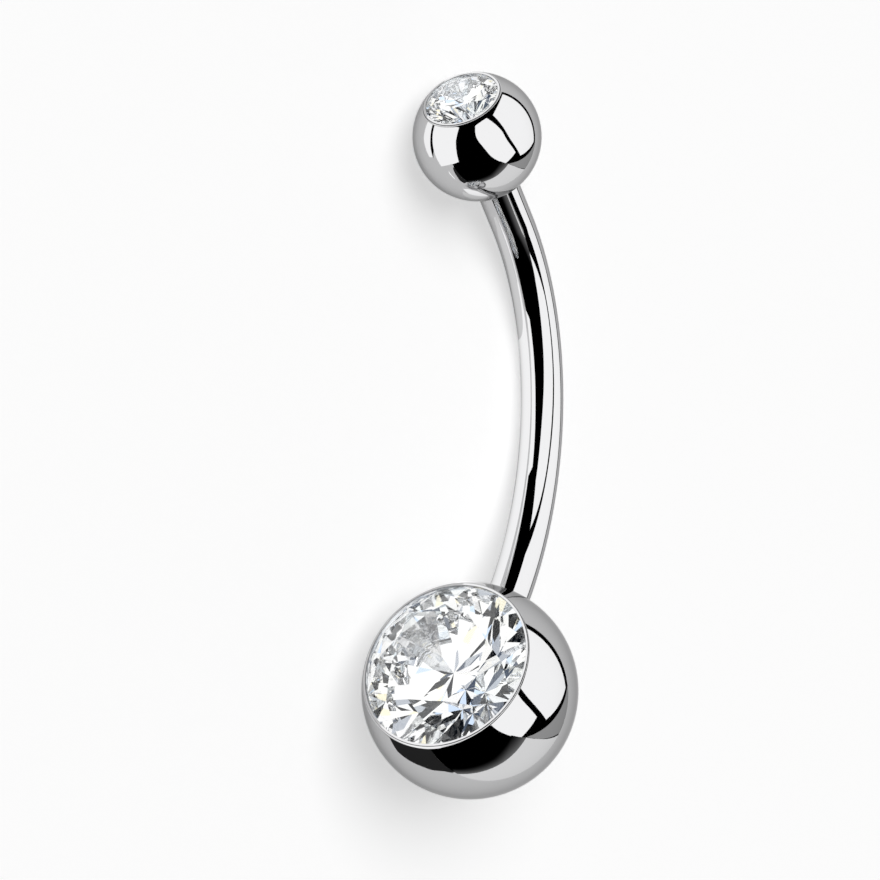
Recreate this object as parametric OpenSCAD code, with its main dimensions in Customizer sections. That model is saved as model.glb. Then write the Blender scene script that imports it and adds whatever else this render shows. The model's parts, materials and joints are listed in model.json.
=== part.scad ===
// Curved navel ring: a bar with a large set ball on its lower end and a small set ball that
// screws into its upper end. It lies on its side, as it does when it is put down.
// Lengths are in millimetres and angles in degrees.

/* [Bar] */
// Thickness of the bar
bar_d = 1.6; // [1.4:0.05:1.8]
// Radius of the bar's curve, to the middle of the bar
curve_r = 10.8; // [9:0.1:14]
// Angle that the curve turns through, into the bottom ball
curve_angle = 84; // [64:1:96]
// Straight length between the curve and the top ball
top_straight = 1.85; // [1.4:0.05:4]
// Diameter of the spigot that the bottom ball is pressed on
spigot_d = 1.2; // [0.9:0.05:1.3]
// Length of that spigot
spigot_l = 1.3; // [0.6:0.1:1.6]

/* [Top ball] */
// Diameter of the top ball
top_ball_d = 4.7; // [4.2:0.1:6]
// Diameter of the top stone
top_stone_d = 2.75; // [2:0.05:3.2]
// Depth of the top stone's girdle below the rim of its setting
top_stone_sink = 0.12; // [0.08:0.01:0.3]
// Angle that the top stone is turned in its setting
top_stone_turn = 10; // [0:1:44]

/* [Bottom ball] */
// Diameter of the bottom ball
bottom_ball_d = 8; // [7:0.1:10]
// Diameter of the bottom stone
bottom_stone_d = 6.4; // [5:0.05:6.6]
// Depth of the bottom stone's girdle below the rim of its setting
bottom_stone_sink = 0.22; // [0.1:0.01:0.4]
// Angle that the bottom stone is turned in its setting
bottom_stone_turn = 25; // [0:1:44]
// Angle that the bottom stone is tipped up towards the bar
bottom_stone_tip = 32; // [10:1:45]
// Depth to which the bar's full thickness goes into the ball
socket_depth = 0.3; // [0.2:0.05:0.4]

/* [Setting] */
// Width of the metal that shows round a stone
rim_w = 0.09; // [0.06:0.01:0.2]
// How far the lip is pressed in over the edge of a stone
lip_over = 0.02; // [0.01:0.01:0.04]
// Height of the pressed lip
lip_h = 0.05; // [0.03:0.01:0.07]

/* [Stone cut] */
// Width of the table, as a share of the stone's diameter
table_share = 0.6; // [0.52:0.01:0.66]
// Thickness of the girdle, as a share of the stone's diameter
girdle_share = 0.03; // [0.02:0.005:0.05]
// Slope of the crown's main facets
crown_slope = 34.5; // [30:0.5:37]
// Slope of the pavilion's main facets
pavilion_slope = 40.75; // [39:0.25:42]
// How far the star facets reach from the table to the girdle, as a share
star_share = 0.5; // [0.4:0.05:0.6]
// How far the lower facets reach from the girdle to the point, as a share
lower_share = 0.77; // [0.7:0.01:0.85]

/* [Screw] */
// Length of the threaded post, from the top ball's surface
post_l = 1.9; // [1.3:0.05:2.3]
// Outer diameter of the thread
thread_d = 1.1; // [0.95:0.05:1.15]
// Depth of the thread's grooves
thread_depth = 0.13; // [0.08:0.01:0.16]
// Pitch of the thread
thread_pitch = 0.25; // [0.2:0.05:0.35]
// Length of the plain neck between the ball and the thread
neck_l = 0.2; // [0.1:0.05:0.4]

/* [Fit] */
// Clearance round the thread in its bore
thread_gap = 0.05; // [0.03:0.01:0.08]
// Room left past the end of the post in its bore
post_end_gap = 0.15; // [0.1:0.05:0.4]
// Gap between the top ball and the cupped end of the bar
cup_gap = 0.02; // [0.02:0.01:0.05]
// Gap round the bar in the bottom ball's socket, and at its end
socket_gap = 0.02; // [0.01:0.01:0.05]
// Gap between a stone and its seat
stone_gap = 0.02; // [0.01:0.01:0.04]

/* [Hidden] */

METAL = [0.77, 0.78, 0.8];
STONE = [0.9, 0.95, 1];
// Fineness of round metal
ROUND_FN = 96;
// Main facets round a stone. Two smaller facets meet the girdle for each of them, and each
// of those has a few of the girdle's sides.
MAINS = 8;
SMALL_FACET = 360 / (2 * MAINS);
GIRDLE_SIDES = 4;
// How far a cut reaches past the surface that it opens
CUT_PAST = 1;
// How far the spigot and the threaded post are rooted in what they stand on
SPIGOT_ROOT = 0.3;
POST_ROOT = 0.5;

bar_r = bar_d / 2;
top_r = top_ball_d / 2;
bottom_r = bottom_ball_d / 2;
half_angle = curve_angle / 2;

// The ring is first drawn upright: x points to the front, where the stones face, and z up.
curve_centre = [curve_r, 0, 0];
top_dir = [sin(half_angle), 0, cos(half_angle)];
bottom_dir = [sin(half_angle), 0, -cos(half_angle)];
top_centre = on_curve(half_angle) + top_dir * (top_straight + top_r);
bottom_centre = on_curve(-half_angle) + bottom_dir * (bottom_r - socket_depth);
bottom_stone_dir = [cos(bottom_stone_tip), 0, sin(bottom_stone_tip)];

// A point of the bar's middle line, by its angle above the level of the curve's centre
function on_curve(angle) = curve_centre + curve_r * [-cos(angle), 0, sin(angle)];

// Outer radius of a setting's rim, and the height of its flat above the ball's centre
function rim_r(stone_d) = stone_d / 2 - lip_over + rim_w;
function rim_z(ball_r, stone_d) = sqrt(pow(ball_r, 2) - pow(rim_r(stone_d), 2));

// Heights in a stone, from the middle of its girdle
function girdle_half(stone_d) = girdle_share * stone_d / 2;
function crown_z(stone_d, facet_r) =
    girdle_half(stone_d) + (stone_d / 2 - facet_r) * tan(crown_slope);
function pavilion_z(stone_d, facet_r) =
    -girdle_half(stone_d) - (stone_d / 2 - facet_r) * tan(pavilion_slope);
function table_r(stone_d) = table_share * stone_d / 2;
function star_r(stone_d) = let (from = table_r(stone_d) * cos(SMALL_FACET))
    from + star_share * (stone_d / 2 - from);
function lower_r(stone_d) = (1 - lower_share) * stone_d / 2;
function stone_z(ball_r, stone_d, sink) = rim_z(ball_r, stone_d) - sink - girdle_half(stone_d);

// Resting attitude. The ring leans on three places: its two balls and the back of its curve.
// In the plane of the curve, along runs from the bottom ball to the top ball and out points to
// the front. The up direction has one share along each, and the rest of it across the plane.
span = norm(top_centre - bottom_centre);
along = (top_centre - bottom_centre) / span;
out = [along.z, 0, -along.x];
up_along = (top_r - bottom_r) / span;
arm_along = (top_centre - curve_centre) * along;
arm_out = (top_centre - curve_centre) * out;
lean = top_r - bar_r - up_along * arm_along;
up_out = let (a = pow(curve_r, 2) - pow(arm_out, 2), b = 2 * lean * arm_out,
        c = pow(curve_r * up_along, 2) - pow(lean, 2))
    (-b + sqrt(pow(b, 2) - 4 * a * c)) / (2 * a);
row_z = up_along * along + up_out * out
    + [0, sqrt(1 - pow(up_along, 2) - pow(up_out, 2)), 0];
level = -along + (along * row_z) * row_z;
row_x = level / norm(level);
row_y = cross(row_z, row_x);

// How far each kind of piece reaches in a direction
function ball_reach(dir, centre, ball_r, facing, stone_d, sink) =
    let (face = dir * facing, side = sqrt(max(0, 1 - pow(face, 2))),
        rim = rim_z(ball_r, stone_d),
        table_z = stone_z(ball_r, stone_d, sink) + crown_z(stone_d, table_r(stone_d)))
    dir * centre + (face * ball_r <= rim ? ball_r
        : max(rim * face + rim_r(stone_d) * side, table_z * face + table_r(stone_d) * side));
function bar_reach(dir) =
    let (angle = max(-half_angle, min(half_angle, atan2(dir.z, -dir.x))),
        slope = dir * [sin(angle), 0, cos(angle)])
    dir * on_curve(angle) + bar_r * sqrt(max(0, 1 - pow(slope, 2)));
function reach(dir) = max(
    bar_reach(dir),
    ball_reach(dir, top_centre, top_r, top_dir, top_stone_d, top_stone_sink),
    ball_reach(dir, bottom_centre, bottom_r, bottom_stone_dir, bottom_stone_d,
        bottom_stone_sink));
middle_x = (reach(row_x) - reach(-row_x)) / 2;
middle_y = (reach(row_y) - reach(-row_y)) / 2;
floor_z = -reach(-row_z);

// Lays a piece that is drawn upright on the floor, with the origin under the middle of the ring
module lay() {
    multmatrix([
        [row_x.x, row_x.y, row_x.z, -middle_x],
        [row_y.x, row_y.y, row_y.z, -middle_y],
        [row_z.x, row_z.y, row_z.z, -floor_z],
        [0, 0, 0, 1]
    ]) children();
}

// Sets the curve, which is drawn round z from x, upright with its top end first
module at_curve() {
    translate(curve_centre) rotate([90, 0, 0]) rotate([0, 0, 180 - half_angle]) children();
}

// Each of these turns what is drawn along z to its own direction, at its own place
module at_top_ball() {
    translate(top_centre) rotate([0, half_angle, 0]) children();
}

module at_bottom_stone() {
    translate(bottom_centre) rotate([0, 90 - bottom_stone_tip, 0]) children();
}

module at_socket() {
    translate(bottom_centre) rotate([0, -half_angle, 0]) children();
}

// Hollow that is cut in a ball for its stone, with the flat of the rim
module setting_cut(ball_r, stone_d, sink) {
    rim = rim_z(ball_r, stone_d);
    middle = stone_z(ball_r, stone_d, sink);
    seat_r = stone_d / 2 + stone_gap;
    drop = stone_gap / cos(pavilion_slope);
    corner_z = pavilion_z(stone_d, lower_r(stone_d) * cos(SMALL_FACET));
    rotate_extrude($fn = ROUND_FN) polygon([
        [0, middle + pavilion_z(stone_d, 0) - drop],
        [lower_r(stone_d), middle + corner_z - drop],
        [seat_r, middle - girdle_half(stone_d) - stone_gap],
        [seat_r, rim - lip_h],
        [stone_d / 2 - lip_over, rim],
        [ball_r + CUT_PAST, rim],
        [ball_r + CUT_PAST, ball_r + CUT_PAST],
        [0, ball_r + CUT_PAST]
    ]);
}

// A point by its distance from z, its angle round z and its height
function polar(r, angle, z) = [r * cos(angle), r * sin(angle), z];

// Round brilliant stone of 57 facets, with the middle of its girdle at z = 0
module brilliant(stone_d) {
    stone_r = stone_d / 2;
    around = 2 * MAINS * GIRDLE_SIDES;
    side = SMALL_FACET / GIRDLE_SIDES;
    edge_z = girdle_half(stone_d);
    table_z = crown_z(stone_d, table_r(stone_d));
    star_z = crown_z(stone_d, star_r(stone_d) * cos(SMALL_FACET));
    lower_z = pavilion_z(stone_d, lower_r(stone_d) * cos(SMALL_FACET));
    // Each facet that meets the girdle cuts a shallow arch into it
    half_cos = cos(SMALL_FACET / 2);
    upper_fall = (star_z - edge_z) / (half_cos * (stone_r - star_r(stone_d)));
    lower_rise = (-edge_z - lower_z) / (half_cos * (stone_r - lower_r(stone_d)));
    arch = [for (j = [0 : around - 1])
        stone_r * (cos((j % GIRDLE_SIDES) * side - SMALL_FACET / 2) - half_cos)];
    points = concat(
        [for (k = [0 : MAINS - 1]) polar(table_r(stone_d), 2 * k * SMALL_FACET, table_z)],
        [for (k = [0 : MAINS - 1]) polar(star_r(stone_d), (2 * k + 1) * SMALL_FACET, star_z)],
        [for (j = [0 : around - 1]) polar(stone_r, j * side, edge_z - upper_fall * arch[j])],
        [for (j = [0 : around - 1]) polar(stone_r, j * side, -edge_z + lower_rise * arch[j])],
        [for (k = [0 : MAINS - 1]) polar(lower_r(stone_d), (2 * k + 1) * SMALL_FACET, lower_z)],
        [[0, 0, pavilion_z(stone_d, 0)]]
    );
    // Where each kind of point starts in that list, after the table's corners
    star = MAINS;
    upper = star + MAINS;
    under = upper + around;
    low = under + around;
    culet = low + MAINS;
    per_main = 2 * GIRDLE_SIDES;
    faces = concat(
        [[for (k = [0 : MAINS - 1]) k]],
        [for (k = [0 : MAINS - 1]) [k, star + k, (k + 1) % MAINS]],
        [for (k = [0 : MAINS - 1])
            [k, star + (k + MAINS - 1) % MAINS, upper + k * per_main, star + k]],
        [for (k = [0 : 2 * MAINS - 1]) concat([star + floor(k / 2)],
            [for (j = [0 : GIRDLE_SIDES]) upper + (k * GIRDLE_SIDES + j) % around])],
        [for (j = [0 : around - 1])
            [upper + j, under + j, under + (j + 1) % around, upper + (j + 1) % around]],
        [for (k = [0 : 2 * MAINS - 1]) concat([low + floor(k / 2)],
            [for (j = [GIRDLE_SIDES : -1 : 0]) under + (k * GIRDLE_SIDES + j) % around])],
        [for (k = [0 : MAINS - 1])
            [culet, low + k, under + k * per_main, low + (k + MAINS - 1) % MAINS]]
    );
    polyhedron(points, [for (face = faces) [for (i = [len(face) - 1 : -1 : 0]) face[i]]]);
}

// Threaded post that points down from a ball's surface, with a bevelled tip
module threaded_post(ball_r) {
    crest = thread_d / 2;
    root = crest - thread_depth;
    tip = root / 2;
    turns = floor((post_l - neck_l - tip) / thread_pitch);
    root_z = POST_ROOT - ball_r;
    thread_z = -ball_r - neck_l;
    end_z = -ball_r - post_l;
    rotate_extrude($fn = ROUND_FN) polygon(concat(
        [[0, root_z], [root, root_z], [root, thread_z]],
        [for (i = [0 : turns - 1], crossing = [0.5, 1])
            [crossing < 1 ? crest : root, thread_z - (i + crossing) * thread_pitch]],
        [[root, end_z + tip], [tip, end_z], [0, end_z]]
    ));
}

// The curve starts at its top end, where the cupped and threaded straight meets it, and ends in
// the spigot that the bottom ball is pressed on.
module bar() {
    bore_l = post_l + post_end_gap;
    color(METAL) lay() at_curve() difference() {
        union() {
            rotate_extrude(angle = curve_angle, $fn = ROUND_FN)
                translate([curve_r, 0]) circle(d = bar_d, $fn = ROUND_FN);
            translate([curve_r, 0, 0]) rotate([90, 0, 0])
                cylinder(d = bar_d, h = top_straight + top_r / 2, $fn = ROUND_FN);
            rotate([0, 0, curve_angle]) translate([curve_r, -SPIGOT_ROOT, 0])
                rotate([-90, 0, 0])
                    cylinder(d = spigot_d, h = SPIGOT_ROOT + spigot_l - socket_gap,
                        $fn = ROUND_FN);
        }
        translate([curve_r, -top_straight - top_r, 0]) {
            sphere(r = top_r + cup_gap, $fn = ROUND_FN);
            rotate([-90, 0, 0])
                cylinder(d = thread_d + 2 * thread_gap, h = top_r + bore_l, $fn = ROUND_FN);
        }
    }
}

module bottom_ball() {
    color(METAL) lay() difference() {
        translate(bottom_centre) sphere(r = bottom_r, $fn = ROUND_FN);
        at_bottom_stone() setting_cut(bottom_r, bottom_stone_d, bottom_stone_sink);
        at_socket() {
            translate([0, 0, bottom_r - socket_depth - socket_gap])
                cylinder(d = bar_d + 2 * socket_gap, h = socket_depth + CUT_PAST,
                    $fn = ROUND_FN);
            translate([0, 0, bottom_r - socket_depth - spigot_l])
                cylinder(d = spigot_d + 2 * socket_gap, h = spigot_l, $fn = ROUND_FN);
        }
    }
}

module bottom_stone() {
    color(STONE) lay() at_bottom_stone()
        translate([0, 0, stone_z(bottom_r, bottom_stone_d, bottom_stone_sink)])
            rotate(bottom_stone_turn) brilliant(bottom_stone_d);
}

module top_ball() {
    color(METAL) lay() at_top_ball() {
        difference() {
            sphere(r = top_r, $fn = ROUND_FN);
            setting_cut(top_r, top_stone_d, top_stone_sink);
        }
        threaded_post(top_r);
    }
}

module top_stone() {
    color(STONE) lay() at_top_ball()
        translate([0, 0, stone_z(top_r, top_stone_d, top_stone_sink)])
            rotate(top_stone_turn) brilliant(top_stone_d);
}

bar();
bottom_ball();
bottom_stone();
top_ball();
top_stone();
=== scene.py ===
"""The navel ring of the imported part: polished metal, cut stones, a pale floor, light and camera.

The ring is drawn upright in millimetres, as its bar curves in one plane, and is then laid on its
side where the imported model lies. Directions in that plane are written with x to the front, where
the stones face, and z up.
"""

import json
import logging
import math
from dataclasses import dataclass, field
from enum import Enum
from typing import Any, Sequence

import bmesh
import bpy
import numpy as np
from mathutils import Matrix, Vector


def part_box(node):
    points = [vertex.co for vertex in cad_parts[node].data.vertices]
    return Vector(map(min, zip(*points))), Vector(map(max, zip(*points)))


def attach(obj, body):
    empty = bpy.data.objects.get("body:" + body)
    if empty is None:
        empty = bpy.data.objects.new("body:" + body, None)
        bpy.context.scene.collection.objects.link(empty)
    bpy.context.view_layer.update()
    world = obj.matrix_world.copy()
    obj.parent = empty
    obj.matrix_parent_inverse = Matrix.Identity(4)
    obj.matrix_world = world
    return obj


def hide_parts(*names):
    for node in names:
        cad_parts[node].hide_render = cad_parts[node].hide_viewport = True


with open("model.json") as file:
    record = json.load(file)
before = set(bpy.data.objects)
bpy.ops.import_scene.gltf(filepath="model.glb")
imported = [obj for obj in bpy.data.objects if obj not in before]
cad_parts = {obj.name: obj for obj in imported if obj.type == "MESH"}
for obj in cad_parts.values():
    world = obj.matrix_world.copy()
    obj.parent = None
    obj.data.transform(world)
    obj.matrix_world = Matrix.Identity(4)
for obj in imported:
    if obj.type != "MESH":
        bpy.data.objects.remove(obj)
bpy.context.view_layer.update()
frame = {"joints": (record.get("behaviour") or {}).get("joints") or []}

MM = 0.001
MERGE_MM = 1e-5
WHITE = 1.76
SHARP = math.radians(32)
LABELS = ("station", "reach", "depth", "finish", "lean", "rise", "turn")
LOG = logging.getLogger("navel_ring")


class Finish(Enum):
    """How a stretch of metal was left. The groove is painted near-black as shade, partly standing
    for the polishing compound it holds, and the seat glows a little as painted light.
    """

    POLISHED = 0
    CUT = 1
    # The seat under a stone: bright as a foil back, with a faint glow that is painted light.
    SEAT = 2
    # The groove round the rim, whose metal is painted near-black as shade.
    GROOVE = 3

    @property
    def label(self) -> str:
        """Name of the input that takes its material."""
        return self.name.title()


@dataclass(frozen=True)
class BarSizes:
    """The bar and its screw, in millimetres and degrees."""

    bar_d: float = 1.6
    curve_r: float = 10.8
    curve_angle: float = 84.0
    top_straight: float = 1.85
    spigot_d: float = 1.2
    spigot_l: float = 1.3
    post_l: float = 1.9
    thread_d: float = 1.1
    thread_depth: float = 0.13
    thread_pitch: float = 0.36
    neck_l: float = 0.2
    thread_gap: float = 0.05
    post_end_gap: float = 0.15
    cup_gap: float = 0.02
    socket_gap: float = 0.02
    socket_depth: float = 0.3

    @property
    def bar_r(self) -> float:
        """Radius of the bar."""
        return self.bar_d / 2

    @property
    def half_angle(self) -> float:
        """Half of the angle that the curve turns through, in radians."""
        return math.radians(self.curve_angle) / 2

    @property
    def curve_l(self) -> float:
        """Length of the curve along the bar's middle line."""
        return self.curve_r * 2 * self.half_angle


@dataclass(frozen=True)
class StoneCut:
    """Size and proportions of a round brilliant, in millimetres and degrees."""

    diameter: float
    turn: float
    table_share: float = 0.6
    girdle_share: float = 0.03
    crown_slope: float = 34.5
    pavilion_slope: float = 40.75
    star_share: float = 0.5
    lower_share: float = 0.77
    mains: int = 8
    girdle_sides: int = 6

    @property
    def radius(self) -> float:
        """Radius of the girdle."""
        return self.diameter / 2

    @property
    def girdle_half(self) -> float:
        """Height of the girdle's upper edge over its middle."""
        return self.girdle_share * self.diameter / 2

    @property
    def small_facet(self) -> float:
        """Angle that each of the small facets at the girdle takes, in radians."""
        return math.pi / self.mains

    @property
    def table_r(self) -> float:
        """Distance from the axis to the table's corners."""
        return self.table_share * self.radius

    @property
    def star_r(self) -> float:
        """Distance from the axis to the points of the star facets."""
        inner = self.table_r * math.cos(self.small_facet)
        return inner + self.star_share * (self.radius - inner)

    @property
    def lower_r(self) -> float:
        """Distance from the axis to the lower ends of the facets under the girdle."""
        return (1 - self.lower_share) * self.radius

    def crown_z(self, facet_r: float) -> float:
        """Height of a crown main facet at this distance from the axis."""
        slope = math.tan(math.radians(self.crown_slope))
        return self.girdle_half + (self.radius - facet_r) * slope

    def pavilion_z(self, facet_r: float) -> float:
        """Height of a pavilion main facet at this distance from the axis."""
        slope = math.tan(math.radians(self.pavilion_slope))
        return -self.girdle_half - (self.radius - facet_r) * slope


@dataclass(frozen=True)
class BallSizes:
    """A ball with its stone and the setting that holds it, in millimetres."""

    ball_d: float
    stone: StoneCut
    stone_sink: float
    rim_w: float = 0.09
    lip_over: float = 0.02
    lip_h: float = 0.05
    stone_gap: float = 0.02
    rim_round: float = 0.014
    lip_round: float = 0.008
    groove_w: float = 0.03
    groove_h: float = 0.04
    low_steps: int = 3
    seat_steps: int = 6
    round_steps: int = 6

    @property
    def ball_r(self) -> float:
        """Radius of the ball."""
        return self.ball_d / 2

    @property
    def rim_r(self) -> float:
        """Outer radius of the rim before its edge is rounded."""
        return self.stone.radius - self.lip_over + self.rim_w

    @property
    def rim_z(self) -> float:
        """Height of the rim's flat over the ball's centre."""
        return math.sqrt(self.ball_r**2 - self.rim_r**2)

    @property
    def stone_z(self) -> float:
        """Height of the middle of the stone's girdle over the ball's centre."""
        return self.rim_z - self.stone_sink - self.stone.girdle_half

    @property
    def round_r(self) -> float:
        """Distance from the axis to the middle of the rim's rounding."""
        return math.sqrt(
            (self.ball_r - self.rim_round) ** 2 - (self.rim_z - self.rim_round) ** 2)

    @property
    def edge_angle(self) -> float:
        """Angle from the stone's axis at which the rim's rounding ends, in radians."""
        return math.atan2(self.round_r, self.rim_z - self.rim_round)

    @property
    def open_angle(self) -> float:
        """Angle from the stone's axis at which the plain ball starts, past the groove."""
        return self.edge_angle + self.groove_w / self.ball_r

    def setting(self) -> "Section":
        """The outline of the seat and rim, from the axis to where the plain ball starts.

        Returns:
            The outline, with heights counted from the ball's centre.
        """
        stone = self.stone
        drop = self.stone_gap / math.cos(math.radians(stone.pavilion_slope))
        low_z = stone.pavilion_z(stone.lower_r * math.cos(stone.small_facet))
        seat_r = stone.radius + self.stone_gap
        seat_z = self.stone_z - stone.girdle_half - self.stone_gap
        middle = (self.edge_angle + self.open_angle) / 2
        groove_r = self.ball_r - self.groove_h
        groove = (groove_r * math.cos(middle), groove_r * math.sin(middle))
        ball = (self.ball_r * math.cos(self.open_angle), self.ball_r * math.sin(self.open_angle))
        return (
            Section((self.stone_z + stone.pavilion_z(0) - drop, 0.0))
            .line(self.stone_z + low_z - drop, stone.lower_r, Finish.SEAT, self.low_steps)
            .line(seat_z, seat_r, Finish.SEAT, self.seat_steps)
            .line(self.rim_z - self.lip_h, seat_r, Finish.SEAT)
            .bend((self.rim_z, stone.radius - self.lip_over), (self.rim_z, self.rim_r),
                  self.lip_round)
            .line(self.rim_z, self.round_r)
            .arc((self.rim_z - self.rim_round, self.round_r), self.edge_angle,
                 self.round_steps)
            # The groove's stretches take the groove metal, painted near-black as shade.
            .line(*groove, Finish.GROOVE)
            .line(*ball, Finish.GROOVE)
        )


@dataclass
class Stretch:
    """One smooth stretch of a turned outline: points of height and radius, with their normals."""

    points: np.ndarray
    normals: np.ndarray
    depths: np.ndarray
    finish: Finish


@dataclass
class Section:
    """The half outline of a turned piece, from one end of its axis to the other.

    The metal lies to the left of the way along the outline, seen with height to the right and
    radius up. A point within on_axis of the axis has no normal, and nor has a corner where the
    cosine between the two normals is under smooth_cos.
    """

    at: tuple[float, float]
    stretches: list[Stretch] = field(default_factory=list)
    on_axis: float = 1e-6
    smooth_cos: float = 0.995

    def _add(self, points: np.ndarray, normals: np.ndarray, finish: Finish,
             depths: np.ndarray | None = None) -> "Section":
        """Adds one stretch and moves the outline's end there.

        Args:
            points: Rows of height and radius.
            normals: The normal at each point.
            finish: How the metal is left there.
            depths: Depth of the thread at each point, or None for no thread.

        Returns:
            The section itself.
        """
        if depths is None:
            depths = np.zeros(len(points))
        self.stretches.append(Stretch(points, normals, depths, finish))
        self.at = (float(points[-1][0]), float(points[-1][1]))
        return self

    def line(self, height: float, radius: float, finish: Finish = Finish.POLISHED,
             steps: int = 1) -> "Section":
        """Draws a straight stretch.

        Args:
            height: Height of its end.
            radius: Radius of its end.
            finish: How the metal is left there.
            steps: How many parts it is divided in.

        Returns:
            The section itself.
        """
        start, end = np.array(self.at), np.array((height, radius))
        way = (end - start) / np.linalg.norm(end - start)
        points = start + np.linspace(0, 1, steps + 1)[:, None] * (end - start)
        normals = np.tile((way[1], -way[0]), (steps + 1, 1))
        return self._add(points, normals, finish)

    def arc(self, centre: tuple[float, float], end: float, steps: int,
            finish: Finish = Finish.POLISHED) -> "Section":
        """Draws an arc round a centre.

        Args:
            centre: Height and radius of its centre.
            end: Angle of its end, in radians from the height axis towards the radius axis.
            steps: How many parts it is divided in.
            finish: How the metal is left there.

        Returns:
            The section itself.
        """
        spoke = np.array(self.at) - np.array(centre)
        start = math.atan2(spoke[1], spoke[0])
        angles = np.linspace(start, end, steps + 1)
        spokes = np.stack((np.cos(angles), np.sin(angles)), axis=1)
        points = np.array(centre) + np.linalg.norm(spoke) * spokes
        return self._add(points, spokes if end > start else -spokes, finish)

    def bend(self, corner: tuple[float, float], towards: tuple[float, float], radius: float,
             finish: Finish = Finish.POLISHED, steps: int = 6) -> "Section":
        """Draws a line to a corner and rounds it towards the next point.

        Args:
            corner: Height and radius of the sharp corner.
            towards: A point on the line that leaves it.
            radius: Radius of the rounding.
            finish: How the metal is left there.
            steps: How many parts the rounding is divided in.

        Returns:
            The section itself.
        """
        tip = np.array(corner)
        back = np.array(self.at) - tip
        on = np.array(towards) - tip
        back, on = back / np.linalg.norm(back), on / np.linalg.norm(on)
        half = math.acos(float(np.clip(back @ on, -1, 1))) / 2
        reach = radius / math.tan(half)
        centre = tip + (back + on) / np.linalg.norm(back + on) * radius / math.sin(half)
        self.line(*(tip + back * reach), finish)
        start, end = (self._angle(tip + side * reach - centre) for side in (back, on))
        turn = (end - start + math.pi) % math.tau - math.pi
        return self.arc(tuple(centre), start + turn, steps, finish)

    @staticmethod
    def _angle(spoke: np.ndarray) -> float:
        """Angle of a spoke from the height axis, in radians."""
        return math.atan2(spoke[1], spoke[0])

    def thread(self, length: float, radius: float, depth: float, pitch: float,
               steps_a_turn: int = 14) -> "Section":
        """Draws a threaded stretch whose grooves fade out at both ends.

        Args:
            length: Its length along the axis, negative to run back.
            radius: Radius where the wave of the thread is lowest.
            depth: Height of the wave.
            pitch: Distance between two turns.
            steps_a_turn: How many parts each turn is divided in.

        Returns:
            The section itself.
        """
        count = max(2, round(abs(length) / pitch * steps_a_turn))
        share = np.linspace(0, 1, count + 1)
        points = np.stack((self.at[0] + share * length, np.full(count + 1, radius)), axis=1)
        away = np.minimum(share, 1 - share) * abs(length) / (pitch / 2)
        normals = np.tile((0.0, math.copysign(1.0, -length)), (count + 1, 1))
        return self._add(points, normals, Finish.CUT, depth * np.clip(away, 0, 1))

    def turned_over(self, height: float) -> "Section":
        """The same outline with heights counted the other way.

        Args:
            height: The height that becomes zero.

        Returns:
            A new section.
        """
        first = self.stretches[0].points[0]
        over = Section((height - first[0], first[1]))
        for s in reversed(self.stretches):
            points = np.array((height, 0)) + s.points[::-1] * (-1, 1)
            over.stretches.append(
                Stretch(points, s.normals[::-1] * (-1, 1), s.depths[::-1], s.finish))
        return over

    def rows(self) -> list["Row"]:
        """The outline point by point, with the stretches joined.

        Returns:
            The points. A sharp corner, the axis and a thread are left without a normal.
        """
        rows: list[Row] = []
        for s in self.stretches:
            for k, ((height, radius), normal, depth) in enumerate(
                    zip(s.points, s.normals, s.depths)):
                bare = abs(depth) > 0 or radius < self.on_axis
                lean, rise = (0.0, 0.0) if bare else normal
                row = Row(height, radius, depth, s.finish, lean, rise)
                if rows and k == 0:
                    last = rows[-1]
                    if last.lean * lean + last.rise * rise < self.smooth_cos:
                        last.lean = last.rise = row.lean = row.rise = 0.0
                rows.append(row)
        return rows


@dataclass
class Row:
    """One point of an outline, as it is handed on to the mesh."""

    height: float
    radius: float
    depth: float
    finish: Finish
    lean: float
    rise: float


class Wire:
    """One output of a node, which can stand in an expression."""

    def __init__(self, graph: "Graph", socket: bpy.types.NodeSocket) -> None:
        """Keeps the graph and the socket."""
        self.graph = graph
        self.socket = socket

    def _with(self, operation: str, *values: Any) -> "Wire":
        """Joins values in one Math node."""
        return self.graph.node("ShaderNodeMath", {"operation": operation}, values)[0]

    def __add__(self, other: Any) -> "Wire":
        """Sum."""
        return self._with("ADD", self, other)

    def __radd__(self, other: Any) -> "Wire":
        """Sum, from the right."""
        return self._with("ADD", other, self)

    def __sub__(self, other: Any) -> "Wire":
        """Difference."""
        return self._with("SUBTRACT", self, other)

    def __rsub__(self, other: Any) -> "Wire":
        """Difference, from the right."""
        return self._with("SUBTRACT", other, self)

    def __mul__(self, other: Any) -> "Wire":
        """Product."""
        return self._with("MULTIPLY", self, other)

    def __rmul__(self, other: Any) -> "Wire":
        """Product, from the right."""
        return self._with("MULTIPLY", other, self)

    def __truediv__(self, other: Any) -> "Wire":
        """Quotient."""
        return self._with("DIVIDE", self, other)

    def __gt__(self, other: Any) -> "Wire":
        """One where this is greater, and otherwise zero."""
        return self._with("GREATER_THAN", self, other)

    def __abs__(self) -> "Wire":
        """Value without its sign."""
        return self._with("ABSOLUTE", self)

    def cos(self) -> "Wire":
        """Cosine of an angle in radians."""
        return self._with("COSINE", self)

    def sin(self) -> "Wire":
        """Sine of an angle in radians."""
        return self._with("SINE", self)

    def between(self, low: Any, high: Any) -> "Wire":
        """The value, kept from low to high."""
        return self._with("MINIMUM", self._with("MAXIMUM", self, low), high)


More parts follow.
